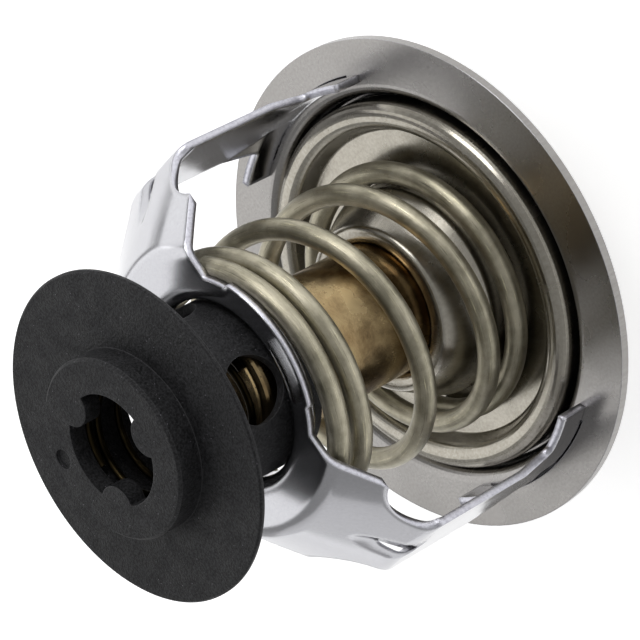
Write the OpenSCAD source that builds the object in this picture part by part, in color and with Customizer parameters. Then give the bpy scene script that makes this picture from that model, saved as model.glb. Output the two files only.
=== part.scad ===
/* [Flange] */
// Outside diameter of the flange
flange_d = 67; // [66:0.5:76]
// Sheet thickness of the flange and its bridge
flange_t = 1.2; // [1:0.1:1.4]
// Radius of the well that the valve sits in
well_r = 25.8; // [25.6:0.1:26.1]
// Depth of the valve seat below the flange face
seat_depth = 4; // [3.8:0.1:5]
// Width of the seat, from the well wall to the throat
seat_w = 4.4; // [3.6:0.1:5]
// Bend radius of the pressed corners, at mid sheet
flange_bend = 1; // [0.8:0.1:1.1]
// Length of the straight throat below the seat
throat_l = 4.4; // [3.5:0.1:6]

/* [Bridge] */
// Distance from the flange face down to the flat of the bridge
bridge_h = 16; // [15.5:0.5:20]
// Width of the bridge
bridge_w = 14; // [10:0.5:16]
// Half length of the bridge between the middles of its bends
bridge_half_l = 14.5; // [12:0.5:16]
// Bend radius of the bridge, at mid sheet
bridge_bend = 3; // [2:0.5:4]
// Distance from the well's axis to the end of each window beside the bridge
window_half_l = 19.5; // [17:0.5:20]
// Corner radius of the windows
window_corner_r = 3; // [1:0.5:4]
// Depth of the socket that takes the piston tip
socket_depth = 0.5; // [0.3:0.1:0.8]

/* [Spring frame] */
// Sheet thickness of the spring frame
frame_t = 1; // [0.8:0.1:1.2]
// Height of the frame's top face above the flange face
frame_h = 37.1; // [35:0.1:40]
// Radius of the hole that the sleeve slides through
frame_hole_r = 11.9; // [11.8:0.05:12.4]
// Depth of the collar turned down round the hole
collar_h = 3.9; // [3:0.1:5]
// Bend radius of the collar, at mid sheet
collar_bend = 1.5; // [1:0.1:2]
// Radius at which the flat top meets the sloping shoulder, on the outer skin
shoulder_r = 18.8; // [18:0.1:20]
// Slope of the shoulder below the horizontal
shoulder_angle = 46.6; // [40:0.2:50]
// Bend radius between the top and the shoulder, at mid sheet
shoulder_bend = 2.4; // [1.5:0.1:3]
// Distance from the axis to the flat outer face of each arm
arm_face = 28.65; // [28.5:0.05:28.7]
// Bend radius between the shoulder and the arms, at mid sheet
arm_bend = 4.5; // [3:0.5:6]
// Half width of the sloping shoulders
shoulder_half_w = 10.5; // [10:0.1:12]
// Distance from the axis to where the shoulders narrow to the arms, inside the notches
shoulder_half_l = 25; // [24.6:0.1:25.4]
// Half width of an arm
arm_half_w = 7; // [6.8:0.1:8]
// Half width of an arm between its two notches
arm_root_half_w = 6.1; // [5.8:0.1:6.4]
// Radius of the round notches cut into the arm bends
corner_notch_r = 4; // [3.8:0.1:4.2]
// Height of the middle of the notches above the flange
corner_notch_h = 27.4; // [27:0.1:27.8]
// Height over which the flat arm runs out into its round foot
run_out_h = 6; // [4:0.5:8]
// Radius of the round plate in the middle of the top
plate_r = 16.1; // [15.9:0.1:17]
// Height of the step at the ends of the plate's free edges
plate_step = 0.5; // [0.3:0.1:0.7]
// Half length of the plate's free edges, between the steps
plate_step_half_l = 8.9; // [7:0.1:9.5]
// Radius of the groove of the dart pressed into each arm bend
dart_r = 2; // [1.5:0.1:2.4]
// Depth of the dart's groove at the middle of the bend
dart_depth = 1.5; // [0.8:0.1:1.6]
// Angle between the dart and the shoulder
dart_slope = 14; // [12:1:22]

/* [Feet] */
// Outer radius of the feet
foot_r = 28.75; // [28.7:0.05:28.8]
// Height of the feet above the flange
foot_h = 4.2; // [3.5:0.1:5]
// Half angle that a foot spans
foot_half_angle = 27; // [25:0.5:30]
// Half angle of the tongue that goes through the flange
tongue_half_angle = 22; // [20:0.5:24]
// Radius of the inside corner between an arm and its foot
foot_corner_r = 1; // [0.6:0.1:1.5]
// How far the clinched tongue reaches outwards, from mid sheet
clinch_l = 1.8; // [1.2:0.1:2.2]
// Clearance of the tongue in its slot
slot_gap = 0.15; // [0.1:0.05:0.2]

/* [Valve] */
// Outside radius of the valve disc
valve_r = 25.2; // [25:0.05:25.3]
// Sheet thickness of the valve disc
valve_t = 1; // [0.8:0.1:1.1]
// Radius of the rolled bead, at mid sheet
bead_r = 1.15; // [1.1:0.05:1.3]
// Height of the bead's top above the flange face
bead_h = 1.4; // [1:0.1:2]
// Depth of the spring's floor below the flange face
floor_depth = 1.45; // [1.3:0.05:1.6]
// How far the bead's inner wall slopes in, down to the floor
bead_slope = 1.1; // [0.6:0.1:1.4]
// Outer radius of the shoulder that centres the spring
pilot_r = 14.3; // [14:0.1:14.4]
// Height of the pilot's shoulder above the flange face, at mid sheet
pilot_h = 2; // [1.5:0.1:2.5]
// Height of the hub's crest above the flange face
hub_h = 8.5; // [8:0.1:10]
// Outer radius of the crest, at mid sheet
crest_r = 10.8; // [10.7:0.1:11.2]
// Bend radius of the crest, at mid sheet
crest_bend = 0.68; // [0.6:0.02:0.7]
// Thickness of the seal pad under the bead
seal_t = 1.4; // [1.2:0.1:1.5]
// Radial width of the seal pad
seal_w = 2.8; // [2.4:0.1:3]
// Clearance of the seal's key inside the bead
key_gap = 0.05; // [0.03:0.01:0.1]

/* [Wax element] */
// Outside radius of the cup
cup_r = 8.85; // [8.7:0.05:9]
// Wall thickness of the cup
cup_t = 0.8; // [0.6:0.05:0.9]
// Height of the cup's closed end above the flange face
cup_h = 37.1; // [36:0.1:39]
// Outside radius of the cup's wide mouth
mouth_r = 10.4; // [10.3:0.05:10.8]
// Height of the step between the cup and its mouth
mouth_h = 2.8; // [2.4:0.1:3.5]
// Depth of the crimped edge below the flange face
crimp_depth = 4; // [3.8:0.1:4.5]
// How far the crimped edge turns in
crimp_w = 1.4; // [1:0.1:1.8]
// Radius of the piston
piston_r = 2; // [1.8:0.05:2.4]
// Height of the piston's inner end above the flange face
piston_top = 20.8; // [18:0.1:22]
// Running clearance round the piston
piston_gap = 0.05; // [0.03:0.01:0.1]
// Outside radius of the guide's nose
nose_r = 5; // [4.4:0.1:6]
// Length of the guide's nose below the crimp
nose_l = 6; // [4:0.1:6.2]
// Thickness of the guide's flange
guide_t = 2.8; // [2.4:0.1:3]
// Radius of the wiper seal
wiper_r = 3.4; // [3.1:0.1:4]
// Height of the wiper seal
wiper_h = 1.4; // [1:0.1:2]
// Radius of the hard washer under the boot
washer_r = 3.8; // [3:0.1:4.5]
// Thickness of the hard washer
washer_t = 1; // [0.6:0.1:1.2]
// Outside radius of the boot's stem
boot_r = 4.6; // [3.8:0.1:5]
// Thickness of the boot's closed end and the gap above the piston
boot_end = 3.2; // [2.5:0.1:4]
// Clearance between parts closed up inside the cup
inner_gap = 0.05; // [0.03:0.01:0.1]

/* [Bypass valve] */
// Radius of the bypass disc
disc_r = 21.57; // [20:0.1:23]
// Height of the disc's front face above the flange face
disc_h = 51.4; // [51:0.1:54]
// Thickness of the disc where it meets the sleeve
disc_t = 2.2; // [1.5:0.1:3]
// Thickness of the disc at its edge
edge_t = 0.6; // [0.4:0.1:1]
// Bevel round the front edge of the disc
edge_bevel = 0.25; // [0.1:0.05:0.3]
// Radius of the boss
boss_r = 11.8; // [11:0.1:13]
// Height of the boss above the disc
boss_h = 3.6; // [3:0.1:5]
// Bevel round the boss
boss_bevel = 0.35; // [0.2:0.05:0.5]
// Radius of the hole through the boss
boss_hole_r = 7.25; // [7:0.05:7.4]
// Thickness of the boss's end wall
boss_wall = 2.5; // [2:0.1:3]
// Radius of each lug in the hole
lug_r = 2.6; // [2:0.1:3]
// Distance from the axis to the middle of each lug
lug_place_r = 7.6; // [7.4:0.1:8]
// Direction of the first lug
lug_angle = -14.3; // [-60:0.1:60]
// Radius of the dimple on the boss's face
dimple_r = 1.3; // [0.8:0.1:1.5]
// Distance from the axis to the dimple
dimple_place_r = 9.9; // [9.6:0.1:10]
// Direction of the dimple
dimple_angle = 160; // [130:1:200]
// Depth of the dimple
dimple_depth = 0.4; // [0.2:0.1:0.8]
// Outside radius of the sleeve
sleeve_r = 11.55; // [11.4:0.05:11.6]
// Wall thickness of the sleeve
sleeve_wall = 1.25; // [1.1:0.05:1.3]
// Height of the sleeve's free end above the flange face
sleeve_end = 30.6; // [29:0.1:31]
// Thickness of the sleeve's stop lip
lip_t = 2.4; // [1.6:0.1:2.8]
// Clearance between the stop lip and the cup
lip_gap = 0.3; // [0.3:0.05:0.4]
// Radius of the round windows in the sleeve
sleeve_window_r = 4.3; // [3:0.1:4.5]
// Height of the middle of the windows above the flange face
sleeve_window_h = 40.2; // [40:0.1:41.5]
// Direction of the first window
sleeve_window_angle = -17.8; // [-45:0.1:45]
// How far the element slides into the stopped bypass valve
bypass_travel = 5; // [3:0.5:5.5]
// Height of the retaining ring on the cup
ring_t = 1; // [0.8:0.1:1.4]
// Clearance between the retaining ring and the sleeve
ring_gap = 0.3; // [0.3:0.05:0.4]

/* [Main spring] */
// Diameter of the main spring's wire
wire_d = 2.87; // [2.5:0.01:2.9]
// Mean radius of the main spring
coil_r = 16.64; // [16.4:0.02:17]
// Turns that lie nearly closed at the valve end
low_turns = 1; // [0.75:0.05:1.25]
// Open turns in the middle
open_turns = 2.25; // [2:0.05:2.5]
// Turns that lie nearly closed at the frame end
high_turns = 1.19; // [1:0.05:1.5]
// Pitch of the nearly closed turns
closed_pitch = 3.5; // [3:0.1:4]
// Direction of the wire's end on the valve
coil_start_angle = -129.8; // [-180:0.1:180]
// How far the spring stands off centre at the valve
lean_low = 0.4; // [0:0.05:0.5]
// How far the spring stands off centre at the frame
lean_high = 1.1; // [0:0.05:1.2]

/* [Bypass spring] */
// Diameter of the bypass spring's wire
small_wire_d = 1; // [0.7:0.05:1.1]
// Mean radius of the bypass spring
small_coil_r = 7.4; // [7.2:0.05:7.6]
// Turns of the bypass spring
small_turns = 5.5; // [4:0.5:7]
// Turns at each end of the bypass spring that lie closed
small_closed_turns = 0.9; // [0.75:0.05:1]
// Clearance between the bypass spring and its pocket
pocket_gap = 0.5; // [0.3:0.1:0.8]

/* [Hidden] */
$fn = 96;
bend_steps = 6;
past = 1;
skin_gap = 0.03;
flange_r = flange_d / 2;
seat_z = -seat_depth;
wall_mid_r = well_r + flange_t / 2;
throat_mid_r = well_r - seat_w;
throat_z = seat_z - throat_l;
bridge_mid_z = flange_t / 2 - bridge_h;
socket_z = flange_t - bridge_h - socket_depth;
frame_mid_z = frame_h - frame_t / 2;
frame_under = frame_h - frame_t;
collar_mid_r = frame_hole_r + frame_t / 2;
shoulder_mid_r = shoulder_r - tan(shoulder_angle / 2) * frame_t / 2;
arm_mid_r = norm([arm_face, arm_half_w + frame_t / 4]) - frame_t / 2;
arm_mid_z = frame_mid_z - (arm_mid_r - shoulder_mid_r) * tan(shoulder_angle);
face_mid = arm_face - frame_t / 2;
face_mid_z = frame_mid_z - (face_mid - shoulder_mid_r - skin_gap) * tan(shoulder_angle);
face_corner_z = frame_h - (arm_face - shoulder_r) * tan(shoulder_angle);
foot_mid_r = foot_r - frame_t / 2;
clinch_z = -flange_t - frame_t / 2;
clinch_bend = frame_t / 2 + 0.1;
tongue_z = -flange_t - frame_t - 2 * flange_bend;
arm_turn = 90 - shoulder_angle;
arm_path = [
    [shoulder_mid_r + skin_gap, frame_mid_z],
    [face_mid, face_mid_z, arm_bend],
    [face_mid, -slot_gap]
];
floor_z = -floor_depth;
floor_mid_z = floor_z - valve_t / 2;
bead_mid_z = bead_h - valve_t / 2;
bead_out_r = valve_r - valve_t / 2;
bead_in_r = bead_out_r - 2 * bead_r;
seal_top = seat_z + seal_t;
cup_mid_r = cup_r - cup_t / 2;
cup_in_r = cup_r - cup_t;
mouth_mid_r = mouth_r - cup_t / 2;
mouth_in_r = mouth_r - cup_t;
grip_mid_r = cup_r + valve_t / 2;
crimp_z = cup_t - crimp_depth;
guide_top = crimp_z + guide_t;
nose_end = -crimp_depth - nose_l;
bore_r = piston_r + piston_gap;
boot_seat = mouth_h - cup_t;
boot_top = piston_top + boot_end;
boss_top = disc_h + boss_h;
pocket_top = boss_top - boss_wall;
pocket_r = small_coil_r + small_wire_d / 2 + pocket_gap;
sleeve_in_r = sleeve_r - sleeve_wall;
cavity_top = max(sleeve_window_h + sleeve_window_r, cup_h + bypass_travel) + 0.1;
lip_r = cup_r + lip_gap;
lip_top = sleeve_end + lip_t;
ring_r = sleeve_in_r - ring_gap;
coil_low_z = floor_z + wire_d / 2;
coil_high_z = frame_under - wire_d / 2;
open_rise = coil_high_z - coil_low_z - (low_turns + high_turns) * closed_pitch;
coil_turns = low_turns + open_turns + high_turns;
small_low_z = cup_h + small_wire_d / 2;
small_high_z = pocket_top - small_wire_d / 2;
small_closed_rise = small_closed_turns * small_wire_d;

function unit(v) = v / norm(v);
function left_of(v) = [-v[1], v[0]];
function turned(v, a) = [v[0] * cos(a) - v[1] * sin(a), v[0] * sin(a) + v[1] * cos(a)];
function flat(rows) = [for (row = rows) for (item = row) item];
function backwards(list) = [for (i = [len(list) - 1 : -1 : 0]) list[i]];

// One skin of a bent sheet. A path point is [r, z], or [r, z, bend radius at mid sheet].
function point_of(path, i) = [path[i][0], path[i][1]];
function heading(path, i) = unit(point_of(path, i + 1) - point_of(path, i));
function bend_angle(path, i) = let (
    a = heading(path, i - 1),
    b = heading(path, i)
) atan2(a[0] * b[1] - a[1] * b[0], a[0] * b[0] + a[1] * b[1]);
function bend_points(path, i, shift) = let (
    a = heading(path, i - 1),
    turn = bend_angle(path, i),
    hand = sign(turn),
    start = point_of(path, i) - a * path[i][2] * tan(abs(turn) / 2),
    centre = start + left_of(a) * hand * path[i][2],
    r = path[i][2] - hand * shift
) [for (k = [0 : bend_steps]) centre - turned(left_of(a), turn * k / bend_steps) * hand * r];
function skin(path, shift) = let (last = len(path) - 1) concat(
    [point_of(path, 0) + left_of(heading(path, 0)) * shift],
    flat([for (i = [1 : last - 1]) bend_points(path, i, shift)]),
    [point_of(path, last) + left_of(heading(path, last - 1)) * shift]
);
module bent_sheet(path, t) {
    polygon(concat(skin(path, t / 2), backwards(skin(path, -t / 2))));
}

// Flat wedge that opens by half_angle on each side of +Y
module wedge(half_angle, r) {
    polygon([[0, 0], r * [sin(half_angle), cos(half_angle)], [r * sin(half_angle), r],
        [-r * sin(half_angle), r], r * [-sin(half_angle), cos(half_angle)]]);
}

module both_arms() {
    children();
    rotate(180) children();
}

// A wire swept along a coil: centres and radial directions are given ring by ring
module swept_wire(centres, headings, wire_r, sides) {
    rings = len(centres);
    points = flat([for (i = [0 : rings - 1])
        let (out = [headings[i][0], headings[i][1], 0], up = [0, 0, 1])
        [for (k = [0 : sides - 1])
            centres[i] + wire_r * (cos(360 * k / sides) * out + sin(360 * k / sides) * up)]]);
    walls = flat([for (i = [0 : rings - 2]) [for (k = [0 : sides - 1])
        let (next = (k + 1) % sides)
        [i * sides + k, (i + 1) * sides + k, (i + 1) * sides + next, i * sides + next]]]);
    first_end = [for (k = [0 : sides - 1]) k];
    last_end = [for (k = [sides - 1 : -1 : 0]) (rings - 1) * sides + k];
    polyhedron(points, concat(walls, [first_end, last_end]));
}

module flange() {
    path = [
        [flange_r, -flange_t / 2],
        [wall_mid_r, -flange_t / 2, flange_bend],
        [wall_mid_r, seat_z - flange_t / 2, flange_bend],
        [throat_mid_r, seat_z - flange_t / 2, flange_bend],
        [throat_mid_r, throat_z, bridge_bend],
        [bridge_half_l, bridge_mid_z, bridge_bend],
        [0, bridge_mid_z]
    ];
    color("darkgray") difference() {
        rotate_extrude() bent_sheet(path, flange_t);
        for (side = [-1, 1])
            translate([side * (bridge_w + flange_r) / 2, 0, 0])
                bridge_window(flange_r);
        translate([0, 0, socket_z])
            cylinder(r = piston_r + piston_gap, h = socket_depth + past);
        both_arms() tongue_slot();
    }
}

// Window beside the bridge, cut across the throat: round top corners, open below
module bridge_window(depth) {
    top = throat_z - bridge_bend / 2;
    rotate([90, 0, 90]) translate([0, 0, -depth / 2]) linear_extrude(depth) {
        translate([-window_half_l, -bridge_h - past])
            square([2 * window_half_l, bridge_h + past + top - window_corner_r]);
        translate([window_corner_r - window_half_l, -bridge_h - past])
            square([2 * (window_half_l - window_corner_r), bridge_h + past + top]);
        for (side = [-1, 1])
            translate([side * (window_half_l - window_corner_r), top - window_corner_r])
                circle(r = window_corner_r);
    }
}

module tongue_slot() {
    slot_angle = tongue_half_angle + atan(slot_gap / foot_mid_r) * 2;
    translate([0, 0, -flange_t - past]) linear_extrude(flange_t + 2 * past) intersection() {
        difference() {
            circle(r = foot_r + slot_gap);
            circle(r = foot_r - frame_t - slot_gap);
        }
        wedge(slot_angle, flange_r);
    }
}

module frame_plan() {
    circle(r = plate_r - plate_step);
    intersection() {
        circle(r = plate_r);
        square([2 * plate_r, 2 * plate_step_half_l], center = true);
    }
    square([2 * shoulder_half_w, 2 * shoulder_half_l], center = true);
    square([2 * arm_half_w, 2 * flange_r], center = true);
}

// The bell as it would be if it were round all the way down, with the clinched edge
module frame_sheet() {
    path = [
        [collar_mid_r, frame_h - collar_h],
        [collar_mid_r, frame_mid_z, collar_bend],
        [shoulder_mid_r, frame_mid_z, shoulder_bend],
        [arm_mid_r, arm_mid_z, arm_bend],
        [arm_mid_r, foot_h + run_out_h, arm_bend],
        [foot_mid_r, foot_h, arm_bend],
        [foot_mid_r, clinch_z, clinch_bend],
        [foot_mid_r + clinch_l, clinch_z]
    ];
    rotate_extrude() bent_sheet(path, frame_t);
}

// Shape drawn in Y and Z, carried across the full width of the frame
module side_view() {
    rotate([90, 0, 90]) translate([0, 0, -flange_r]) linear_extrude(2 * flange_r) children();
}

// Space between the flat outer faces of the two arms, wide open below the flange face
module between_faces() {
    outer = bend_points(arm_path, 1, frame_t / 2);
    half = concat([[outer[0][0], 2 * frame_h]], outer,
        [[arm_face, -slot_gap], [flange_r, -slot_gap], [flange_r, 2 * tongue_z]]);
    side_view() polygon(concat(half, [for (p = backwards(half)) [-p[0], p[1]]]));
}

// Everything outside the flat inner face of an arm, below its bend
module arm_lining() {
    inner = bend_points(arm_path, 1, -frame_t / 2);
    side_view() polygon(concat(inner, [[face_mid - frame_t / 2, -past], [flange_r, -past],
        [flange_r, inner[0][1]]]));
}

// Solid inside the bell, which the linings and the backs of the darts are trimmed to
module frame_core() {
    inset = frame_t / 4;
    rotate_extrude() polygon([
        [0, 0], [foot_mid_r - inset, 0], [foot_mid_r - inset, foot_h],
        [arm_mid_r - inset, foot_h + run_out_h], [arm_mid_r - inset, arm_mid_z - arm_bend / 2],
        [shoulder_mid_r, frame_mid_z], [0, frame_mid_z]
    ]);
}

// Round bar that lies across the bend of an arm, with its near side sunk to the dart's depth
module dart_bar(grow) {
    tilt = arm_turn - dart_slope;
    bend_gap = (arm_bend + frame_t / 2) * (1 / cos(arm_turn / 2) - 1);
    out = dart_r - dart_depth - bend_gap;
    length = 5 * arm_bend;
    translate([0, arm_face + out * cos(tilt), face_corner_z + out * sin(tilt)])
        rotate([tilt, 0, 0])
            translate([0, 0, -length / 2])
                cylinder(r = dart_r + grow, h = length);
}

// Round notch on each side of an arm's bend, open towards the side
module corner_notches() {
    middle = arm_root_half_w + corner_notch_r;
    for (side = [-1, 1])
        translate([side * middle, flange_r, corner_notch_h]) rotate([90, 0, 0]) {
            cylinder(r = corner_notch_r, h = flange_r);
            translate([side * corner_notch_r - corner_notch_r, -corner_notch_r, 0])
                cube([2 * corner_notch_r, 2 * corner_notch_r, flange_r]);
        }
}

// Rounded inside corners between an arm and the top of its foot
module foot_corners() {
    for (side = [-1, 1]) scale([side, 1, 1])
        translate([arm_half_w, flange_r, foot_h]) rotate([90, 0, 0]) difference() {
            translate([-foot_corner_r / 2, -foot_corner_r / 2, 0])
                cube([1.5 * foot_corner_r, 1.5 * foot_corner_r, flange_r]);
            translate([foot_corner_r, foot_corner_r, -past])
                cylinder(r = foot_corner_r + skin_gap, h = flange_r + 2 * past);
        }
}

module spring_frame() {
    color("gainsboro") difference() {
        intersection() {
            union() {
                frame_sheet();
                both_arms() intersection() {
                    frame_core();
                    union() {
                        arm_lining();
                        dart_bar(frame_t);
                    }
                }
            }
            union() {
                translate([0, 0, foot_h / 2]) linear_extrude(frame_h) frame_plan();
                both_arms() linear_extrude(foot_h) wedge(foot_half_angle, flange_r);
                both_arms() translate([0, 0, tongue_z])
                    linear_extrude(foot_h - past - tongue_z) wedge(tongue_half_angle, flange_r);
                both_arms() foot_corners();
            }
            between_faces();
        }
        both_arms() dart_bar(0);
        both_arms() corner_notches();
    }
}

module valve_disc() {
    path = [
        [bead_out_r, seal_top],
        [bead_out_r, bead_mid_z, bead_r - 0.01],
        [bead_in_r, bead_mid_z, bead_r - 0.01],
        [bead_in_r - bead_slope, floor_mid_z, valve_t * 0.8],
        [pilot_r - valve_t / 2, floor_mid_z, valve_t * 0.8],
        [pilot_r - valve_t / 2, pilot_h, valve_t],
        [crest_r, hub_h - valve_t / 2, crest_bend],
        [grip_mid_r, hub_h - valve_t / 2, crest_bend],
        [grip_mid_r, mouth_h]
    ];
    color("silver") rotate_extrude() bent_sheet(path, valve_t);
}

module valve_seal() {
    key_out_r = bead_out_r - valve_t / 2 - key_gap;
    key_in_r = bead_in_r + valve_t / 2 + key_gap;
    key_top = bead_mid_z - valve_t;
    color("black") rotate_extrude() {
        translate([valve_r - seal_w, seat_z]) square([seal_w, seal_t]);
        translate([key_in_r, seal_top]) square([key_out_r - key_in_r, key_top - seal_top]);
    }
}

module element_cup() {
    path = [
        [0, cup_h - cup_t / 2],
        [cup_mid_r, cup_h - cup_t / 2, 1.5 * cup_t],
        [cup_mid_r, mouth_h - cup_t / 2, cup_t * 0.7],
        [mouth_mid_r, mouth_h - cup_t / 2, cup_t * 0.7],
        [mouth_mid_r, crimp_z - cup_t / 2, cup_t * 0.7],
        [mouth_mid_r - crimp_w, crimp_z - cup_t / 2]
    ];
    color("peru") rotate_extrude() bent_sheet(path, cup_t);
}

module piston_guide() {
    color("goldenrod") difference() {
        union() {
            translate([0, 0, crimp_z]) cylinder(r = mouth_in_r - inner_gap, h = guide_t);
            translate([0, 0, nose_end]) cylinder(r = nose_r, h = crimp_z - nose_end);
        }
        translate([0, 0, nose_end - past]) cylinder(r = bore_r, h = guide_top - nose_end + 2 * past);
        translate([0, 0, nose_end - past]) cylinder(r = wiper_r + inner_gap, h = wiper_h + past);
        translate([0, 0, guide_top - washer_t]) cylinder(r = washer_r + inner_gap, h = washer_t + past);
    }
}

module bored_ring(r, hole_r, z, h) {
    translate([0, 0, z]) difference() {
        cylinder(r = r, h = h);
        translate([0, 0, -past]) cylinder(r = hole_r, h = h + 2 * past);
    }
}

module wiper_seal() {
    color("black") bored_ring(wiper_r, bore_r, nose_end, wiper_h);
}

module guide_washer() {
    color("whitesmoke") bored_ring(washer_r, bore_r, guide_top - washer_t, washer_t);
}

module rubber_boot() {
    color("dimgray") difference() {
        union() {
            translate([0, 0, guide_top])
                cylinder(r = mouth_in_r - inner_gap, h = boot_seat - guide_top);
            translate([0, 0, boot_seat]) cylinder(r = boot_r, h = boot_top - boot_r - boot_seat);
            translate([0, 0, boot_top - boot_r]) sphere(r = boot_r);
        }
        translate([0, 0, guide_top - past])
            cylinder(r = bore_r, h = piston_top + piston_gap - guide_top + past);
    }
}

module wax_charge() {
    color("khaki") difference() {
        translate([0, 0, boot_seat + inner_gap])
            cylinder(r = cup_in_r - inner_gap, h = cup_h - cup_t - boot_seat - 2 * inner_gap - cup_t);
        cylinder(r = boot_r + inner_gap, h = boot_top - boot_r);
        translate([0, 0, boot_top - boot_r]) sphere(r = boot_r + inner_gap);
    }
}

module piston() {
    color("silver") translate([0, 0, socket_z]) cylinder(r = piston_r, h = piston_top - socket_z);
}

module retaining_ring() {
    color("gray") bored_ring(ring_r, cup_r, lip_top, ring_t);
}

// Height of the main spring's wire centre after the given turns
function coil_z(turns) = lookup(turns, [
    [-1, coil_low_z - closed_pitch],
    [low_turns, coil_low_z + low_turns * closed_pitch],
    [low_turns + open_turns, coil_low_z + low_turns * closed_pitch + open_rise],
    [coil_turns + 1, coil_high_z + closed_pitch]
]);
function eased_coil_z(turns) = (coil_z(turns - 0.12) + coil_z(turns) + coil_z(turns + 0.12)) / 3;
function lean_at(z) = -lookup(z, [[coil_low_z, lean_low], [coil_high_z, lean_high]]);

module main_spring() {
    steps = round(coil_turns * 36);
    turns = [for (i = [0 : steps]) coil_turns * i / steps];
    angles = [for (t = turns) coil_start_angle + 360 * t];
    centres = [for (i = [0 : steps])
        let (z = eased_coil_z(turns[i]))
        [coil_r * cos(angles[i]), coil_r * sin(angles[i]) + lean_at(z), z]];
    headings = [for (a = angles) [cos(a), sin(a)]];
    color("tan") swept_wire(centres, headings, wire_d / 2, 14);
}

function small_coil_z(turns) = lookup(turns, [
    [0, small_low_z],
    [small_closed_turns, small_low_z + small_closed_rise],
    [small_turns - small_closed_turns, small_high_z - small_closed_rise],
    [small_turns, small_high_z]
]);

module bypass_spring() {
    steps = round(small_turns * 18);
    turns = [for (i = [0 : steps]) small_turns * i / steps];
    centres = [for (t = turns) [small_coil_r * cos(360 * t), small_coil_r * sin(360 * t), small_coil_z(t)]];
    headings = [for (t = turns) [cos(360 * t), sin(360 * t)]];
    color("silver") swept_wire(centres, headings, small_wire_d / 2, 8);
}

module bypass_section() {
    polygon([
        [lip_r, sleeve_end], [sleeve_r, sleeve_end], [sleeve_r, disc_h - disc_t],
        [disc_r, disc_h - edge_t], [disc_r, disc_h - edge_bevel], [disc_r - edge_bevel, disc_h],
        [boss_r, disc_h], [boss_r, boss_top - boss_bevel], [boss_r - boss_bevel, boss_top],
        [0, boss_top], [0, pocket_top], [pocket_r, pocket_top], [pocket_r, cavity_top],
        [sleeve_in_r, cavity_top], [sleeve_in_r, lip_top], [lip_r, lip_top]
    ]);
}

// Outline of the hole through the boss, with the three round lugs left standing in it
module boss_hole() {
    difference() {
        circle(r = boss_hole_r);
        for (i = [0 : 2]) rotate(lug_angle + 120 * i) translate([lug_place_r, 0]) circle(r = lug_r);
    }
}

module bypass_valve() {
    color("darkslategray") difference() {
        rotate_extrude() bypass_section();
        translate([0, 0, pocket_top - past]) linear_extrude(boss_wall + 2 * past) boss_hole();
        for (i = [0 : 3]) rotate(sleeve_window_angle + 90 * i)
            translate([sleeve_in_r - past, 0, sleeve_window_h]) rotate([0, 90, 0])
                cylinder(r = sleeve_window_r, h = sleeve_wall + 2 * past);
        rotate(dimple_angle) translate([dimple_place_r, 0, boss_top - dimple_depth])
            cylinder(r = dimple_r, h = dimple_depth + past);
    }
}

flange();
spring_frame();
valve_disc();
valve_seal();
element_cup();
piston_guide();
wiper_seal();
guide_washer();
rubber_boot();
wax_charge();
piston();
retaining_ring();
main_spring();
bypass_spring();
bypass_valve();
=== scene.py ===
import math

import bmesh
import bpy
from mathutils import Matrix, Vector
from mathutils.kdtree import KDTree


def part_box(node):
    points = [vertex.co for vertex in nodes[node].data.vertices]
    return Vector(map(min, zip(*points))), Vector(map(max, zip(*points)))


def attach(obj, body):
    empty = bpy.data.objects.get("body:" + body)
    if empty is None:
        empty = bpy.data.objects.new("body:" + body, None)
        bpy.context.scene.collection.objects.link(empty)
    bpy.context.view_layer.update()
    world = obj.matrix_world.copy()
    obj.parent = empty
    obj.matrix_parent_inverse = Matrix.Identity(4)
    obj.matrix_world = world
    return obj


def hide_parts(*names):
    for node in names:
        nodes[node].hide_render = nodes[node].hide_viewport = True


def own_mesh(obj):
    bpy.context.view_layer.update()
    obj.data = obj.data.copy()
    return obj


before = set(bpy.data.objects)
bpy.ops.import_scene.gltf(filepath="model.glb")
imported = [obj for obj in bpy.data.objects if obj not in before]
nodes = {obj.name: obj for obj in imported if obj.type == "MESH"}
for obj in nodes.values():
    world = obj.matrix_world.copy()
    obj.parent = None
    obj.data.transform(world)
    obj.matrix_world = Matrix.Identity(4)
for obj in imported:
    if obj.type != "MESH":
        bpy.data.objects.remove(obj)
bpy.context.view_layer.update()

scene = bpy.context.scene
mm = 0.001


# Small helpers

def toLinear(hexColour):
    # sRGB hex to the linear colour that shaders take
    parts = [int(hexColour[i:i + 2], 16) / 255 for i in (1, 3, 5)]
    return tuple(p / 12.92 if p <= 0.04045 else ((p + 0.055) / 1.055) ** 2.4 for p in parts) + (1.0,)


def addNode(material, kind, inputs=None, **settings):
    # adds a node; an input is a value, or a (node, output) pair to link
    tree = material.node_tree
    node = tree.nodes.new(kind)
    for name, value in settings.items():
        setattr(node, name, value)
    for name, value in (inputs or {}).items():
        if isinstance(value, tuple) and len(value) == 2 and isinstance(value[0], bpy.types.Node):
            tree.links.new(value[0].outputs[value[1]], node.inputs[name])
        else:
            node.inputs[name].default_value = value
    return node


def setRamp(node, stops):
    # colour ramp stops as (place, hex colour)
    ramp = node.color_ramp
    while len(ramp.elements) < len(stops):
        ramp.elements.new(0.5)
    for element, (place, hexColour) in zip(ramp.elements, stops):
        element.position = place
        element.color = toLinear(hexColour)
    return node


def newMaterial(name):
    material = bpy.data.materials.new(name)
    material.use_nodes = True
    material.node_tree.nodes.clear()
    return material


def finishMaterial(material, shader):
    addNode(material, "ShaderNodeOutputMaterial", {"Surface": (shader, "BSDF")})
    return material


def selectOnly(piece):
    bpy.ops.object.select_all(action="DESELECT")
    piece.select_set(True)
    bpy.context.view_layer.objects.active = piece


def giveMaterial(piece, material):
    piece.data.materials.clear()
    piece.data.materials.append(material)


# Masks that several finishes share

# Cosines of the rounded normal's turn where the corner mask starts and where it is full
cornerTurn = (0.98, 0.85)


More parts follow.
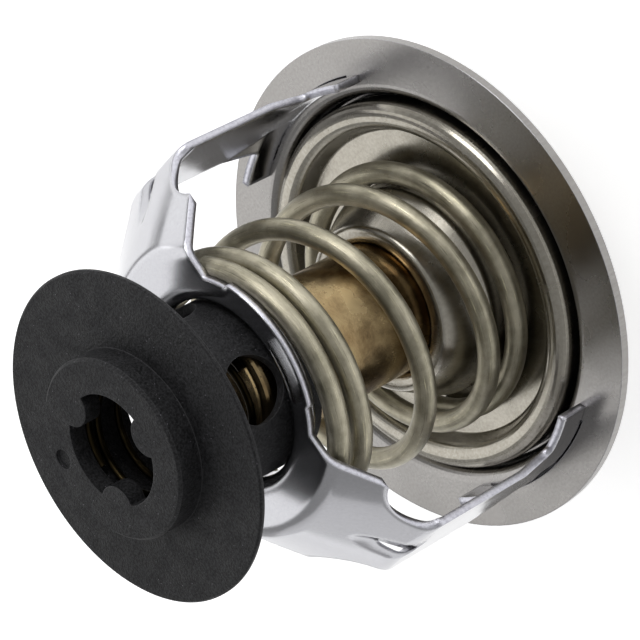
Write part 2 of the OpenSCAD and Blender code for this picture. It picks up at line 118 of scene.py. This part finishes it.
def edgeMask(material, width):
    # 1 on corners and 0 elsewhere, from how far the rounded normal turns away from the face
    rounded = addNode(material, "ShaderNodeBevel", {"Radius": width}, samples=6)
    face = addNode(material, "ShaderNodeNewGeometry")
    turn = addNode(material, "ShaderNodeVectorMath", {
        0: (rounded, "Normal"), 1: (face, "Normal")}, operation="DOT_PRODUCT")
    mask = addNode(material, "ShaderNodeMapRange", {
        "Value": (turn, "Value"), "From Min": cornerTurn[0], "From Max": cornerTurn[1]})
    return rounded, mask


def speckMask(material, place, spacing, size, share):
    # small round specks that fade outwards, one for each cell of the spacing, kept for a share of the cells
    core = 0.4 * size
    cells = addNode(material, "ShaderNodeTexVoronoi", {
        "Vector": (place, "Object"), "Scale": 1 / spacing, "Randomness": 1.0})
    near = addNode(material, "ShaderNodeMapRange", {
        "Value": (cells, "Distance"), "From Min": size / spacing, "From Max": core / spacing})
    chance = addNode(material, "ShaderNodeMath", {0: (cells, "Color"), 1: share}, operation="LESS_THAN")
    return addNode(material, "ShaderNodeMath", {0: (near, "Result"), 1: (chance, "Value")},
                   operation="MULTIPLY")


# Where the stirrup's sheet was cut: tilts are parts of a face's normal, the rest are places on the part
shearedPlaces = {
    "sidewaysFrom": 0.34, "sidewaysTo": 0.44, "dartHalfWidth": 3.2 * mm,
    "uprightTilt": 0.35, "rimRadius": 15 * mm, "plateHeight": 35.6 * mm,
    "levelTilt": 0.8, "footHeight": 6 * mm,
}


def shearedMask(material, place, places):
    # 1 on the cut edges of the stirrup's sheet: faces across the sheet, the plate's rim and the feet's tops
    face = addNode(material, "ShaderNodeNewGeometry")
    position = addNode(material, "ShaderNodeSeparateXYZ", {"Vector": (place, "Object")})
    normal = addNode(material, "ShaderNodeSeparateXYZ", {"Vector": (face, "Normal")})
    around = addNode(material, "ShaderNodeVectorMath", {
        0: (0.0, 0.0, 1.0), 1: (place, "Object")}, operation="CROSS_PRODUCT")
    sideways = addNode(material, "ShaderNodeVectorMath", {0: (around, "Vector")}, operation="NORMALIZE")
    across = addNode(material, "ShaderNodeVectorMath", {
        0: (sideways, "Vector"), 1: (face, "Normal")}, operation="DOT_PRODUCT")
    turned = addNode(material, "ShaderNodeMath", {0: (across, "Value")}, operation="ABSOLUTE")
    cut = addNode(material, "ShaderNodeMapRange", {
        "Value": (turned, "Value"), "From Min": places["sidewaysFrom"], "From Max": places["sidewaysTo"]})
    offSide = addNode(material, "ShaderNodeMath", {0: (position, "X")}, operation="ABSOLUTE")
    notDart = addNode(material, "ShaderNodeMath", {
        0: (offSide, "Value"), 1: places["dartHalfWidth"]}, operation="GREATER_THAN")
    side = addNode(material, "ShaderNodeMath", {
        0: (cut, "Result"), 1: (notDart, "Value")}, operation="MULTIPLY")
    upright = addNode(material, "ShaderNodeMath", {0: (normal, "Z")}, operation="ABSOLUTE")
    edgeOn = addNode(material, "ShaderNodeMath", {
        0: (upright, "Value"), 1: places["uprightTilt"]}, operation="LESS_THAN")
    radius = addNode(material, "ShaderNodeVectorMath", {0: (around, "Vector")}, operation="LENGTH")
    outer = addNode(material, "ShaderNodeMath", {
        0: (radius, "Value"), 1: places["rimRadius"]}, operation="GREATER_THAN")
    high = addNode(material, "ShaderNodeMath", {
        0: (position, "Z"), 1: places["plateHeight"]}, operation="GREATER_THAN")
    rim = addNode(material, "ShaderNodeMath", {
        0: (edgeOn, "Value"), 1: (outer, "Value")}, operation="MULTIPLY")
    plateRim = addNode(material, "ShaderNodeMath", {
        0: (rim, "Value"), 1: (high, "Value")}, operation="MULTIPLY")
    level = addNode(material, "ShaderNodeMath", {
        0: (upright, "Value"), 1: places["levelTilt"]}, operation="GREATER_THAN")
    low = addNode(material, "ShaderNodeMath", {
        0: (position, "Z"), 1: places["footHeight"]}, operation="LESS_THAN")
    footTop = addNode(material, "ShaderNodeMath", {
        0: (level, "Value"), 1: (low, "Value")}, operation="MULTIPLY")
    sideOrRim = addNode(material, "ShaderNodeMath", {
        0: (side, "Value"), 1: (plateRim, "Value")}, operation="MAXIMUM")
    return addNode(material, "ShaderNodeMath", {
        0: (sideOrRim, "Value"), 1: (footTop, "Value")}, operation="MAXIMUM")


def blendColour(material, base, mask, hexColour):
    # lays a colour over the base where the mask is 1
    return addNode(material, "ShaderNodeMix", {0: mask, 6: base, 7: toLinear(hexColour)},
                   data_type="RGBA")


# What all the steel finishes share: where streaks and clouds start and end, and the specks of handling
steelLook = {
    "streakStops": (0.3, 0.7), "cloudRange": (0.3, 0.7), "lineDepth": 0.05 * mm,
    "speckSpacing": 1.6 * mm, "speckSize": 0.09 * mm,
}

# Bright annealed stainless sheet: soft mirror, faint rolling lines, duller torn edges where it was sheared;
# softness is the width over which its pressed folds reflect as if rounded
stirrupLook = {
    **steelLook, "base": "#bcbcc0", "streak": "#b6b6ba", "edge": "#d0d0d8", "speck": "#6f6d72",
    "rollingLine": 0.3 * mm, "dent": 6 * mm, "wave": 12 * mm, "roughness": (0.10, 0.17), "bump": 0.012,
    "waveHeight": 0.07 * mm, "edgeWidth": 0.16 * mm, "softness": 0.9 * mm,
    "speckShare": 0.10, "sheared": "#c8c8d0", "fracture": "#b0afb8", "tornStops": (0.34, 0.56),
    "fleck": 0.4 * mm, "shearedRoughness": 0.34,
}

# Rolling lines run along the part's axis, so their pattern is stretched that way
lineStretch = (1.0, 1.0, 0.05)


def shearEdges(material, place, look, colour, gloss):
    # the torn, duller surface that shearing leaves on the cut edges of the sheet
    flecks = addNode(material, "ShaderNodeTexNoise", {
        "Vector": (place, "Object"), "Scale": 1 / look["fleck"], "Detail": 3.0, "Roughness": 0.7})
    first, last = look["tornStops"]
    torn = setRamp(addNode(material, "ShaderNodeValToRGB", {"Fac": (flecks, "Fac")}), [
        (first, look["fracture"]), (last, look["sheared"])])
    cut = shearedMask(material, place, shearedPlaces)
    edged = addNode(material, "ShaderNodeMix", {
        0: (cut, "Value"), 6: (colour, 2), 7: (torn, "Color")}, data_type="RGBA")
    dulled = addNode(material, "ShaderNodeMix", {
        0: (cut, "Value"), 2: (gloss, "Result"), 3: look["shearedRoughness"]}, data_type="FLOAT")
    return edged, dulled


def rolledStainless(name, look):
    material = newMaterial(name)
    place = addNode(material, "ShaderNodeTexCoord")
    stretched = addNode(material, "ShaderNodeMapping", {"Vector": (place, "Object"), "Scale": lineStretch})
    lines = addNode(material, "ShaderNodeTexNoise", {
        "Vector": (stretched, "Vector"), "Scale": 1 / look["rollingLine"], "Detail": 3.0, "Roughness": 0.6})
    clouds = addNode(material, "ShaderNodeTexNoise", {
        "Vector": (place, "Object"), "Scale": 1 / look["dent"], "Detail": 5.0})
    wave = addNode(material, "ShaderNodeTexNoise", {
        "Vector": (place, "Object"), "Scale": 1 / look["wave"], "Detail": 1.0})
    first, last = look["streakStops"]
    tint = setRamp(addNode(material, "ShaderNodeValToRGB", {"Fac": (lines, "Fac")}), [
        (first, look["streak"]), (last, look["base"])])
    rounded, edge = edgeMask(material, look["edgeWidth"])
    if "softness" in look:
        rounded = addNode(material, "ShaderNodeBevel", {"Radius": look["softness"]}, samples=8)
    # the lighter colour on every corner is partly edge wear and partly a painted highlight
    bright = blendColour(material, (tint, "Color"), (edge, "Result"), look["edge"])
    specks = speckMask(material, place, look["speckSpacing"], look["speckSize"], look["speckShare"])
    marked = blendColour(material, (bright, 2), (specks, "Value"), look["speck"])
    first, last = look["cloudRange"]
    low, high = look["roughness"]
    gloss = addNode(material, "ShaderNodeMapRange", {
        "Value": (clouds, "Fac"), "From Min": first, "From Max": last, "To Min": low, "To Max": high})
    if "sheared" in look:
        marked, gloss = shearEdges(material, place, look, marked, gloss)
    swell = addNode(material, "ShaderNodeBump", {
        "Height": (wave, "Fac"), "Strength": 1.0, "Distance": look["waveHeight"],
        "Normal": (rounded, "Normal")})
    bump = addNode(material, "ShaderNodeBump", {
        "Height": (lines, "Fac"), "Strength": look["bump"], "Distance": look["lineDepth"],
        "Normal": (swell, "Normal")})
    return finishMaterial(material, addNode(material, "ShaderNodeBsdfPrincipled", {
        "Base Color": (marked, 2), "Metallic": 1.0, "Roughness": (gloss, 0), "Normal": (bump, "Normal")}))


# Mill-finished stainless plate of the flange: greyer and duller, with handling marks
flangeLook = {
    **steelLook, "base": "#9d9b98", "streak": "#918e8c", "edge": "#c9c8cc", "speck": "#5a5658",
    "rollingLine": 0.4 * mm, "dent": 9 * mm, "wave": 12 * mm, "roughness": (0.22, 0.32), "bump": 0.06,
    "waveHeight": 0.03 * mm, "edgeWidth": 0.18 * mm, "speckShare": 0.16,
}

# Tumbled stainless pressing of the valve disc: slightly warm, with small dents and more specks
valveLook = {
    **steelLook, "base": "#aaa69c", "streak": "#9a958a", "edge": "#c4c1b6", "speck": "#5c574c",
    "rollingLine": 0.5 * mm, "dent": 4 * mm, "wave": 7 * mm, "roughness": (0.18, 0.3), "bump": 0.12,
    "waveHeight": 0.05 * mm, "edgeWidth": 0.16 * mm, "speckShare": 0.4,
}

# Ground steel of the piston and the retaining ring: brighter and almost unmarked
pinLook = {
    **steelLook, "base": "#c4c4c6", "streak": "#b8b8ba", "edge": "#d8d8da", "speck": "#8a8a8c",
    "rollingLine": 0.2 * mm, "dent": 4 * mm, "wave": 8 * mm, "roughness": (0.15, 0.2), "bump": 0.03,
    "waveHeight": 0.01 * mm, "edgeWidth": 0.1 * mm, "speckShare": 0.05,
}

# Drawn stainless spring wire: olive-brown drawing film, broken by fine bright cream lines along the wire
# that are partly drawing lines and partly a painted highlight
wireLook = {
    "dark": "#8f8a78", "light": "#aea895", "line": "#f0e8c2", "score": "#4a463a",
    "roughness": (0.32, 0.42), "lineRoughness": 0.16, "metallic": 0.85,
    "tintStops": (0.36, 0.62), "bareAndSheenFrom": 0.6, "bareAndSheenTo": 0.72, "scoredFrom": 0.4, "scoredTo": 0.3,
    "filmRange": (0.35, 0.65), "lineWidth": 0.1 * mm, "lineLength": 4 * mm, "patch": 3 * mm,
    "bump": 0.8, "lineDepth": 0.04 * mm,
}

# The light bypass spring: finer wire, its colours painted dark as painted shade for where it lies inside
# the sleeve
shadedBypassWireLook = {
    **wireLook, "dark": "#15110a", "light": "#2a2315", "line": "#5c5136", "score": "#100d08",
    "roughness": (0.3, 0.42), "lineRoughness": 0.25, "metallic": 1.0,
    "lineWidth": 0.08 * mm, "lineLength": 3 * mm, "patch": 2.5 * mm, "bump": 0.25,
}


def drawnWire(name, look):
    # the wire attribute holds the place round the wire and along it, in metres
    material = newMaterial(name)
    along = addNode(material, "ShaderNodeAttribute", attribute_name="wire")
    lengthwise = addNode(material, "ShaderNodeMapping", {
        "Vector": (along, "Vector"), "Scale": (1.0, 1.0, look["lineWidth"] / look["lineLength"])})
    lines = addNode(material, "ShaderNodeTexNoise", {
        "Vector": (lengthwise, "Vector"), "Scale": 1 / look["lineWidth"], "Detail": 4.0, "Roughness": 0.65})
    patches = addNode(material, "ShaderNodeTexNoise", {
        "Vector": (along, "Vector"), "Scale": 1 / look["patch"], "Detail": 4.0, "Roughness": 0.6})
    first, last = look["tintStops"]
    tint = setRamp(addNode(material, "ShaderNodeValToRGB", {"Fac": (patches, "Fac")}), [
        (first, look["dark"]), (last, look["light"])])
    bareAndSheenLines = addNode(material, "ShaderNodeMapRange", {
        "Value": (lines, "Fac"), "From Min": look["bareAndSheenFrom"], "From Max": look["bareAndSheenTo"]})
    scored = addNode(material, "ShaderNodeMapRange", {
        "Value": (lines, "Fac"), "From Min": look["scoredFrom"], "From Max": look["scoredTo"]})
    # lays the bright cream line colour: partly drawing lines, partly a painted highlight standing for the
    # sheen along the wire
    lined = blendColour(material, (tint, "Color"), (bareAndSheenLines, "Result"), look["line"])
    marked = blendColour(material, (lined, 2), (scored, "Result"), look["score"])
    first, last = look["filmRange"]
    low, high = look["roughness"]
    film = addNode(material, "ShaderNodeMapRange", {
        "Value": (patches, "Fac"), "From Min": first, "From Max": last, "To Min": low, "To Max": high})
    gloss = addNode(material, "ShaderNodeMix", {
        0: (bareAndSheenLines, "Result"), 2: (film, "Result"), 3: look["lineRoughness"]}, data_type="FLOAT")
    bump = addNode(material, "ShaderNodeBump", {
        "Height": (lines, "Fac"), "Strength": look["bump"], "Distance": look["lineDepth"]})
    return finishMaterial(material, addNode(material, "ShaderNodeBsdfPrincipled", {
        "Base Color": (marked, 2), "Metallic": look["metallic"], "Roughness": (gloss, 0),
        "Normal": (bump, "Normal")}))


# Drawn brass, dulled by handling and heat, with pits left by the drawing
brassLook = {
    "dark": "#806848", "light": "#c2ab80", "pit": "#574429", "roughness": (0.15, 0.3),
    "patch": 7 * mm, "pitSpacing": 0.7 * mm, "pitSize": 0.1 * mm, "pitShare": 0.35,
    "pitDepth": 0.04 * mm, "swellDepth": 0.1 * mm, "tintStops": (0.38, 0.62), "cloudRange": (0.35, 0.65),
}


def drawnBrass(name, look):
    material = newMaterial(name)
    place = addNode(material, "ShaderNodeTexCoord")
    patches = addNode(material, "ShaderNodeTexNoise", {
        "Vector": (place, "Object"), "Scale": 1 / look["patch"], "Detail": 6.0, "Roughness": 0.62})
    first, last = look["tintStops"]
    tint = setRamp(addNode(material, "ShaderNodeValToRGB", {"Fac": (patches, "Fac")}), [
        (first, look["dark"]), (last, look["light"])])
    pits = speckMask(material, place, look["pitSpacing"], look["pitSize"], look["pitShare"])
    pitted = blendColour(material, (tint, "Color"), (pits, "Value"), look["pit"])
    first, last = look["cloudRange"]
    low, high = look["roughness"]
    gloss = addNode(material, "ShaderNodeMapRange", {
        "Value": (patches, "Fac"), "From Min": first, "From Max": last, "To Min": low, "To Max": high})
    sunk = addNode(material, "ShaderNodeBump", {
        "Height": (pits, "Value"), "Strength": 0.6, "Distance": look["pitDepth"]}, invert=True)
    swell = addNode(material, "ShaderNodeBump", {
        "Height": (patches, "Fac"), "Strength": 0.5, "Distance": look["swellDepth"],
        "Normal": (sunk, "Normal")})
    return finishMaterial(material, addNode(material, "ShaderNodeBsdfPrincipled", {
        "Base Color": (pitted, 2), "Metallic": 1.0, "Roughness": (gloss, "Result"),
        "Normal": (swell, "Normal")}))


# Glass-filled polyamide: black, dull, with a fine sandy grain, pale specks of fibre and paler edges that
# are partly wear and partly a painted highlight
plasticLook = {
    "dark": "#0e0e0f", "light": "#2f2f31", "edge": "#424244", "speck": "#8d8993",
    "speckShare": 0.35, "speckSpacing": 0.6 * mm, "speckSize": 0.07 * mm, "edgeWidth": 0.22 * mm,
    "grain": 0.3 * mm, "grainDepth": 0.06 * mm, "bump": 2.6, "patch": 3 * mm, "cloudShare": 0.25,
    "tintStops": (0.5, 0.76), "cloudRange": (0.35, 0.65), "roughness": (0.46, 0.66), "specular": 0.22,
}


def filledPlastic(name, look):
    material = newMaterial(name)
    place = addNode(material, "ShaderNodeTexCoord")
    grain = addNode(material, "ShaderNodeTexNoise", {
        "Vector": (place, "Object"), "Scale": 1 / look["grain"], "Detail": 4.0, "Roughness": 0.6})
    clouds = addNode(material, "ShaderNodeTexNoise", {
        "Vector": (place, "Object"), "Scale": 1 / look["patch"], "Detail": 5.0})
    mottled = addNode(material, "ShaderNodeMath", {
        0: (clouds, "Fac"), 1: look["cloudShare"], 2: (grain, "Fac")}, operation="MULTIPLY_ADD")
    first, last = look["tintStops"]
    tint = setRamp(addNode(material, "ShaderNodeValToRGB", {"Fac": (mottled, "Value")}), [
        (first, look["dark"]), (last, look["light"])])
    rounded, edge = edgeMask(material, look["edgeWidth"])
    # the paler colour on the corners is partly edge wear and partly a painted highlight
    wornAndLitEdges = blendColour(material, (tint, "Color"), (edge, "Result"), look["edge"])
    specks = speckMask(material, place, look["speckSpacing"], look["speckSize"], look["speckShare"])
    marked = blendColour(material, (wornAndLitEdges, 2), (specks, "Value"), look["speck"])
    first, last = look["cloudRange"]
    low, high = look["roughness"]
    gloss = addNode(material, "ShaderNodeMapRange", {
        "Value": (clouds, "Fac"), "From Min": first, "From Max": last, "To Min": low, "To Max": high})
    bump = addNode(material, "ShaderNodeBump", {
        "Height": (grain, "Fac"), "Strength": look["bump"], "Distance": look["grainDepth"],
        "Normal": (rounded, "Normal")})
    return finishMaterial(material, addNode(material, "ShaderNodeBsdfPrincipled", {
        "Base Color": (marked, 2), "Roughness": (gloss, "Result"), "Specular IOR Level": look["specular"],
        "Normal": (bump, "Normal")}))


# Nitrile rubber and the pieces closed up inside the element
rubberLook = dict(plasticLook, dark="#161615", light="#1e1e1c", edge="#2a2a28", speckShare=0.03, bump=0.2)
washerLook = dict(plasticLook, dark="#dcdcd8", light="#e8e8e4", edge="#f0f0ec", speckShare=0.02, bump=0.15)
waxLook = dict(plasticLook, dark="#8a7350", light="#a08a63", edge="#b09a70", speckShare=0.3, bump=0.3)

nodeMaterials = {
    "flange": rolledStainless("pressed stainless plate", flangeLook),
    "spring_frame": rolledStainless("bright rolled stainless", stirrupLook),
    "valve_disc": rolledStainless("tumbled stainless pressing", valveLook),
    "valve_seal": filledPlastic("nitrile rubber", rubberLook),
    "element_cup": drawnBrass("drawn brass", brassLook),
    "piston_guide": drawnBrass("turned brass", brassLook),
    "wiper_seal": filledPlastic("wiper rubber", rubberLook),
    "guide_washer": filledPlastic("hard white plastic", washerLook),
    "rubber_boot": filledPlastic("boot rubber", rubberLook),
    "wax_charge": filledPlastic("metal filled wax", waxLook),
    "piston": rolledStainless("ground pin steel", pinLook),
    "retaining_ring": rolledStainless("ring steel", pinLook),
    "bypass_valve": filledPlastic("glass filled polyamide", plasticLook),
}
for nodeName, material in nodeMaterials.items():
    giveMaterial(nodes[nodeName], material)
print("stage: materials on the solids")


# Springs: round wire swept along the coils that the solids have; the main coil also runs on under the plate

# heights gives the wire's height by turns along the coil; a row past an end only sets the slope there
mainCoil = {
    "wire": 2.87 * mm, "radius": 16.64 * mm, "startAngle": -129.8, "turns": 4.52, "ease": 0.12,
    "heights": [(-1, -3.515 * mm), (1, 3.485 * mm), (3.25, 30.5 * mm), (4.44, 34.665 * mm),
                (5, 34.665 * mm)],
    "leanLow": 0.4 * mm, "leanHigh": 1.1 * mm, "pointsPerTurn": 96, "sides": 9,
}
smallCoil = {
    "wire": 1.0 * mm, "radius": 7.4 * mm, "startAngle": 0.0, "turns": 5.5, "ease": 0.0,
    "heights": [(0, 37.6 * mm), (0.9, 38.5 * mm), (4.6, 51.1 * mm), (5.5, 52.0 * mm)],
    "leanLow": 0.0, "leanHigh": 0.0, "pointsPerTurn": 64, "sides": 4,
}

# Degrees under which the wire's faces shade as one, and the broken edge of its ends as a share of the wire
smoothAngle = 40
endBevel = 0.08


def between(table, value):
    # straight-line lookup in a table of (value, result) rows, held at its ends
    for (x0, y0), (x1, y1) in zip(table, table[1:]):
        if value <= x1:
            return y0 + (y1 - y0) * max(0.0, value - x0) / (x1 - x0)
    return table[-1][1]


def coilPoints(coil):
    # the wire's centre line; the ease rounds the corners that the table of heights has
    count = round(coil["turns"] * coil["pointsPerTurn"])
    low, high = between(coil["heights"], 0), between(coil["heights"], coil["turns"])
    points = []
    for i in range(count + 1):
        turn = coil["turns"] * i / count
        angle = math.radians(coil["startAngle"]) + 2 * math.pi * turn
        height = sum(between(coil["heights"], turn + shift * coil["ease"]) for shift in (-1, 0, 1)) / 3
        lean = coil["leanLow"] + (coil["leanHigh"] - coil["leanLow"]) * (height - low) / (high - low)
        x, y = coil["radius"] * math.cos(angle), coil["radius"] * math.sin(angle)
        points.append(Vector((x, y - lean, height)))
    return points


def windSpring(name, coil, material):
    # round wire swept along the coil, as one closed mesh
    bpy.ops.object.select_all(action="DESELECT")
    bpy.ops.curve.primitive_nurbs_path_add(location=(0, 0, 0))
    spring = bpy.context.object
    spring.name = name
    points = coilPoints(coil)
    spring.data.splines.clear()
    path = spring.data.splines.new("POLY")
    path.points.add(len(points) - 1)
    for point, centre in zip(path.points, points):
        point.co = (*centre, 1.0)
    spring.data.dimensions = "3D"
    spring.data.twist_mode = "Z_UP"
    spring.data.bevel_depth = coil["wire"] / 2
    spring.data.bevel_resolution = coil["sides"]
    spring.data.use_fill_caps = True
    bpy.ops.object.convert(target="MESH")
    markWire(spring, points)
    softenEnds(spring, endBevel * coil["wire"])
    selectOnly(spring)
    bpy.ops.object.shade_smooth_by_angle(angle=math.radians(smoothAngle))
    giveMaterial(spring, material)
    return spring


def markWire(spring, points):
    # the wire attribute: offset outwards, offset upwards and length along the wire
    tree = KDTree(len(points))
    length, lengths = 0.0, []
    for i, point in enumerate(points):
        length += (point - points[i - 1]).length if i else 0.0
        lengths.append(length)
        tree.insert(point, i)
    tree.balance()
    wire = spring.data.attributes.new("wire", "FLOAT_VECTOR", "POINT")
    for vertex, mark in zip(spring.data.vertices, wire.data):
        centre, i = tree.find(vertex.co)[:2]
        offset = vertex.co - centre
        outwards = Vector((centre.x, centre.y, 0)).normalized()
        mark.vector = (offset.dot(outwards), offset.z, lengths[i])


def softenEnds(spring, width):
    # the sheared ends of the wire get a small broken edge
    selectOnly(spring)
    bpy.ops.object.mode_set(mode="EDIT")
    bpy.ops.mesh.select_mode(type="EDGE")
    bpy.ops.mesh.select_all(action="DESELECT")
    mesh = bmesh.from_edit_mesh(spring.data)
    for edge in mesh.edges:
        capEdge = any(len(face.verts) > 4 for face in edge.link_faces) or len(edge.link_faces) == 1
        edge.select_set(capEdge)
    bmesh.update_edit_mesh(spring.data)
    bpy.ops.mesh.bevel(offset=width, segments=2, affect="EDGES")
    bpy.ops.object.mode_set(mode="OBJECT")


mainSpring = windSpring("mainSpring", mainCoil, drawnWire("drawn spring wire", wireLook))
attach(mainSpring, "stand")
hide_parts("main_spring")
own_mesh(mainSpring)

# the bypass spring's wire colours are painted shade, standing for the shade inside the sleeve
bypassSpring = windSpring("bypassSpring", smallCoil, drawnWire("bypass wire in painted shade", shadedBypassWireLook))
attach(bypassSpring, "valve")
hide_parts("bypass_spring")
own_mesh(bypassSpring)
print("stage: springs")


# Camera at the photograph's place, turned on its side as the photograph is
cameraView = {
    "lookAt": (6.379 * mm, 1.088 * mm, 22.24 * mm), "distance": 462 * mm,
    "azimuth": -10.144, "elevation": 38.853, "roll": -117.693, "lens": 210.2,
    "sensor": 36.0, "nearest": 0.01,
}


def makeCamera(view):
    azimuth, elevation = math.radians(view["azimuth"]), math.radians(view["elevation"])
    back = Vector((math.cos(azimuth) * math.cos(elevation), math.sin(azimuth) * math.cos(elevation),
                   math.sin(elevation)))
    bpy.ops.object.camera_add(location=Vector(view["lookAt"]) + back * view["distance"])
    camera = bpy.context.object
    camera.rotation_mode = "QUATERNION"
    facing = (-back).to_track_quat("-Z", "Y").to_matrix()
    turned = facing @ Matrix.Rotation(math.radians(view["roll"]), 3, "Z")
    camera.rotation_quaternion = turned.to_quaternion()
    camera.data.lens = view["lens"]
    camera.data.sensor_width = view["sensor"]
    camera.data.clip_start = view["nearest"]
    scene.camera = camera


makeCamera(cameraView)
print("stage: camera")

# Pale floor under the bridge, and plain soft light: a pale horizon, a greyer ceiling and soft boxes
studio = {
    "floorSize": 4.0, "floorColour": "#f0f0f0", "floorGlow": 0.62,
    "horizon": 0.56, "ceiling": 0.38, "horizonTop": 0.12, "ceilingBottom": 0.5,
    "lampAim": Vector((0, 0, 20 * mm)),
    # each soft box has a place and a size in metres and a power in watts, and faces the part
    "lamps": [
        ((0.5, 0.45, 0.3), 0.36, 2.2),
        ((-0.5, -0.42, 0.12), 0.5, 0.3),
        ((-0.5, 0.3, 0.45), 0.7, 1.6),
        ((-0.22, 0.63, 0.18), 0.36, 0.36),
    ],
}


def shownRays(material):
    # 1 for rays from the camera, and for those that metal and glass send on
    rays = addNode(material, "ShaderNodeLightPath")
    mirrored = addNode(material, "ShaderNodeMath", {
        0: (rays, "Is Camera Ray"), 1: (rays, "Is Glossy Ray")}, operation="MAXIMUM")
    return addNode(material, "ShaderNodeMath", {
        0: (mirrored, "Value"), 1: (rays, "Is Transmission Ray")}, operation="MAXIMUM")


def makeFloor(values, top):
    bpy.ops.mesh.primitive_plane_add(size=values["floorSize"], location=(0, 0, top))
    floor = bpy.context.object
    floor.name = "studioFloor"
    material = newMaterial("white seamless paper")
    glow = addNode(material, "ShaderNodeMath", {
        0: (shownRays(material), "Value"), 1: values["floorGlow"]}, operation="MULTIPLY")
    finishMaterial(material, addNode(material, "ShaderNodeBsdfPrincipled", {
        "Base Color": toLinear(values["floorColour"]), "Roughness": 0.9, "Specular IOR Level": 0.0,
        "Emission Color": (1.0, 1.0, 1.0, 1.0), "Emission Strength": (glow, "Value")}))
    giveMaterial(floor, material)


def makeLamp(place, size, power, target):
    bpy.ops.object.light_add(type="AREA", location=place)
    lamp = bpy.context.object
    lamp.data.shape = "SQUARE"
    lamp.data.size = size
    lamp.data.energy = power
    aim = target - Vector(place)
    lamp.rotation_mode = "QUATERNION"
    lamp.rotation_quaternion = aim.to_track_quat("-Z", "Y")


def makeWorld(values):
    # brightness falls from the horizon to the ceiling, by the height of the ray's direction
    world = bpy.data.worlds.new("studio")
    scene.world = world
    world.use_nodes = True
    world.node_tree.nodes.clear()
    place = addNode(world, "ShaderNodeTexCoord")
    direction = addNode(world, "ShaderNodeSeparateXYZ", {"Vector": (place, "Generated")})
    strength = addNode(world, "ShaderNodeMapRange", {
        "Value": (direction, "Z"), "From Min": values["horizonTop"], "From Max": values["ceilingBottom"],
        "To Min": values["horizon"], "To Max": values["ceiling"]}, interpolation_type="SMOOTHSTEP")
    sky = addNode(world, "ShaderNodeBackground", {
        "Color": (1.0, 1.0, 1.0, 1.0), "Strength": (strength, "Result")})
    addNode(world, "ShaderNodeOutputWorld", {"Surface": (sky, "Background")})


scene.view_settings.view_transform = "Standard"
makeFloor(studio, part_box("flange")[0].z)
for place, size, power in studio["lamps"]:
    makeLamp(place, size, power, studio["lampAim"])
makeWorld(studio)
print("stage: floor, lamps and world")
